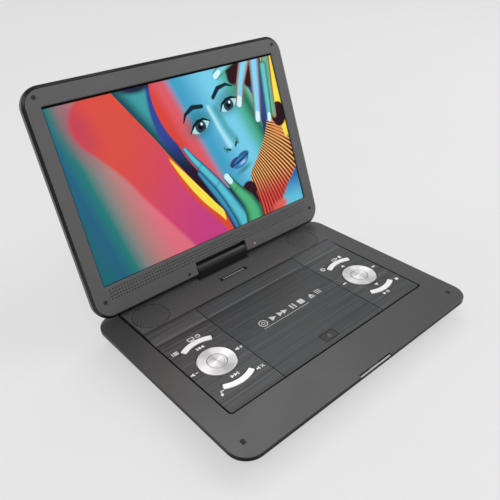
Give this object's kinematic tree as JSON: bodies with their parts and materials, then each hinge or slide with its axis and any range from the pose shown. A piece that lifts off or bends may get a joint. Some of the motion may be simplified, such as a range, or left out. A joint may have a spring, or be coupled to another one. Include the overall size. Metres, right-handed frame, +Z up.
{
  "type": "portable dvd player",
  "caption": "Clamshell disc player: flat base with top-loading disc lid and dial keypads, and a wide display on a hinge that swivels and tilts.",
  "frame": {"origin": "centre of the base's footprint, on the surface that its feet stand on", "axes": "+X to the user's right along the long side, +Y to the back where the screen hinge is, +Z up"},
  "size_m": [0.373, 0.3578, 0.287],
  "materials": {
    "case_plastic": "satin dark grey moulding",
    "bezel_plastic": "fine-grained mid grey moulding",
    "trim_black": "smooth black moulding",
    "deck_brushed": "dark film with fine streaks along X",
    "lid_brushed": "dark film with fine streaks along X",
    "grille_mesh": "fine woven-look texture",
    "inner_plastic": "plain black moulding",
    "key_silver": "pearl silver paint",
    "dial_metal": "spun finish with radial glints",
    "rubber": "soft black rubber",
    "steel": "plain steel",
    "board": "green solder mask",
    "switch_plastic": "small moulded switches",
    "battery_wrap": "wrapped pouch cells",
    "display": "glass display showing a picture",
    "light_guide": "white light guide in a thin tray",
    "lens": "small clear lens",
    "led": "frosted light pipe"
  },
  "bodies": {
    "base": {"base_bottom_shell": "case_plastic", "base_top_shell": "case_plastic", "rubber_feet": "rubber", "base_screws": "steel", "base_bumpers": "rubber", "rear_grille": "grille_mesh", "vent_insert": "grille_mesh", "base_speakers": "inner_plastic", "disc_well": "inner_plastic", "fascia_left": "deck_brushed", "fascia_right": "deck_brushed", "loader_chassis": "steel", "loader_grommets": "rubber", "spindle_motor": "steel", "guide_rods": "steel", "sled_motor": "steel", "key_boards": "board", "key_switches": "switch_plastic", "main_board": "board", "battery_pack": "battery_wrap", "battery_door": "case_plastic", "audio_jacks": "inner_plastic", "dc_jack": "inner_plastic", "usb_port": "steel", "card_slot": "steel", "swivel_bearing": "steel"},
    "swivel": {"swivel_post": "steel", "hinge_cover": "trim_black"},
    "screen": {"back_shell": "case_plastic", "bezel_trim": "trim_black", "screen_bezel": "bezel_plastic", "screen_screws": "steel", "rubber_plugs": "rubber", "led_light_pipe": "led", "lcd_panel": "display", "backlight_unit": "light_guide", "screen_boards": "board", "screen_speakers": "inner_plastic", "hinge_brackets": "steel", "tilt_shafts": "steel"},
    "lid": {"disc_lid": "lid_brushed", "lid_hinge_pins": "steel"},
    "open_button": {"open_button": "deck_brushed"},
    "lid_latch": {"lid_latch": "inner_plastic"},
    "pickup": {"pickup_sled": "inner_plastic", "pickup_lens": "lens"},
    "turntable": {"turntable": "switch_plastic"},
    "lead_screw": {"lead_screw": "steel"},
    "power_switch": {"power_switch": "inner_plastic"},
    "front_catch": {"front_catch": "key_silver"},
    "nav_gimbal_left": {"nav_gimbal_left": "rubber"},
    "nav_ring_left": {"nav_ring_left": "dial_metal"},
    "centre_button_left": {"centre_button_left": "dial_metal"},
    "arc_key_left_back": {"arc_key_left_back": "key_silver"},
    "arc_key_left_front": {"arc_key_left_front": "key_silver"},
    "nav_gimbal_right": {"nav_gimbal_right": "rubber"},
    "nav_ring_right": {"nav_ring_right": "dial_metal"},
    "centre_button_right": {"centre_button_right": "dial_metal"},
    "arc_key_right_back": {"arc_key_right_back": "key_silver"},
    "arc_key_right_front": {"arc_key_right_front": "key_silver"}
  },
  "joints": [
    {"name": "screen_swivel", "type": "hinge", "parent": "base", "child": "swivel", "pos_m": [0, 0.1274, 0.0379], "axis": [0, 0, 1], "range_deg": [0, 180]},
    {"name": "screen_tilt", "type": "hinge", "parent": "swivel", "child": "screen", "pos_m": [0, 0.1274, 0.0379], "axis": [1, 0, 0], "range_deg": [-70, 110]},
    {"name": "lid_hinge", "type": "hinge", "parent": "base", "child": "lid", "pos_m": [0, 0.0721, 0.0264], "axis": [1, 0, 0], "range_deg": [-70, 0]},
    {"name": "open_press", "type": "slide", "parent": "lid", "child": "open_button", "axis": [0, 0, 1], "range_m": [-0.0008, 0], "stiffness_N_per_m": 1500},
    {"name": "latch_slide", "type": "slide", "parent": "lid", "child": "lid_latch", "axis": [0, 1, 0], "range_m": [0, 0.0016], "stiffness_N_per_m": 400},
    {"name": "turntable_spin", "type": "hinge", "parent": "base", "child": "turntable", "pos_m": [0, -0.012, 0.0194], "axis": [0, 0, 1], "continuous": true},
    {"name": "pickup_slide", "type": "slide", "parent": "base", "child": "pickup", "axis": [0, -1, 0], "range_m": [0, 0.035]},
    {"name": "lead_screw_spin", "type": "hinge", "parent": "base", "child": "lead_screw", "pos_m": [0.0285, -0.05, 0.0102], "axis": [0, 1, 0], "range_deg": [0, 2110]},
    {"name": "power_slide", "type": "slide", "parent": "base", "child": "power_switch", "axis": [0, 1, 0], "range_m": [0, 0.005]},
    {"name": "catch_press", "type": "slide", "parent": "base", "child": "front_catch", "axis": [0, 1, 0], "range_m": [0, 0.001], "stiffness_N_per_m": 1500},
    {"name": "ring_rock_y_left", "type": "hinge", "parent": "base", "child": "nav_gimbal_left", "pos_m": [-0.1194, -0.0145, 0.0225], "axis": [1, 0, 0], "range_deg": [-1, 1], "stiffness_Nm_per_rad": 2.3},
    {"name": "ring_rock_x_left", "type": "hinge", "parent": "nav_gimbal_left", "child": "nav_ring_left", "pos_m": [-0.1194, -0.0145, 0.0225], "axis": [0, 1, 0], "range_deg": [-1, 1], "stiffness_Nm_per_rad": 2.3},
    {"name": "centre_press_left", "type": "slide", "parent": "base", "child": "centre_button_left", "axis": [0, 0, 1], "range_m": [-0.00045, 0], "stiffness_N_per_m": 4000},
    {"name": "arc_rock_left_back", "type": "hinge", "parent": "base", "child": "arc_key_left_back", "pos_m": [-0.1194, 0.025, 0.023], "axis": [0, 1, 0], "range_deg": [-1.2, 1.2], "stiffness_Nm_per_rad": 1.9},
    {"name": "arc_rock_left_front", "type": "hinge", "parent": "base", "child": "arc_key_left_front", "pos_m": [-0.1194, -0.054, 0.023], "axis": [0, 1, 0], "range_deg": [-1.2, 1.2], "stiffness_Nm_per_rad": 1.9},
    {"name": "ring_rock_y_right", "type": "hinge", "parent": "base", "child": "nav_gimbal_right", "pos_m": [0.1194, -0.0145, 0.0225], "axis": [1, 0, 0], "range_deg": [-1, 1], "stiffness_Nm_per_rad": 2.3},
    {"name": "ring_rock_x_right", "type": "hinge", "parent": "nav_gimbal_right", "child": "nav_ring_right", "pos_m": [0.1194, -0.0145, 0.0225], "axis": [0, 1, 0], "range_deg": [-1, 1], "stiffness_Nm_per_rad": 2.3},
    {"name": "centre_press_right", "type": "slide", "parent": "base", "child": "centre_button_right", "axis": [0, 0, 1], "range_m": [-0.00045, 0], "stiffness_N_per_m": 4000},
    {"name": "arc_rock_right_back", "type": "hinge", "parent": "base", "child": "arc_key_right_back", "pos_m": [0.1194, 0.025, 0.023], "axis": [0, 1, 0], "range_deg": [-1.2, 1.2], "stiffness_Nm_per_rad": 1.9},
    {"name": "arc_rock_right_front", "type": "hinge", "parent": "base", "child": "arc_key_right_front", "pos_m": [0.1194, -0.054, 0.023], "axis": [0, 1, 0], "range_deg": [-1.2, 1.2], "stiffness_Nm_per_rad": 1.9}
  ],
  "couplings": [
    {"joint": "latch_slide", "follows": "open_press", "ratio": -2},
    {"joint": "lead_screw_spin", "follows": "pickup_slide", "rad_per_m": 1047.2}
  ]
}
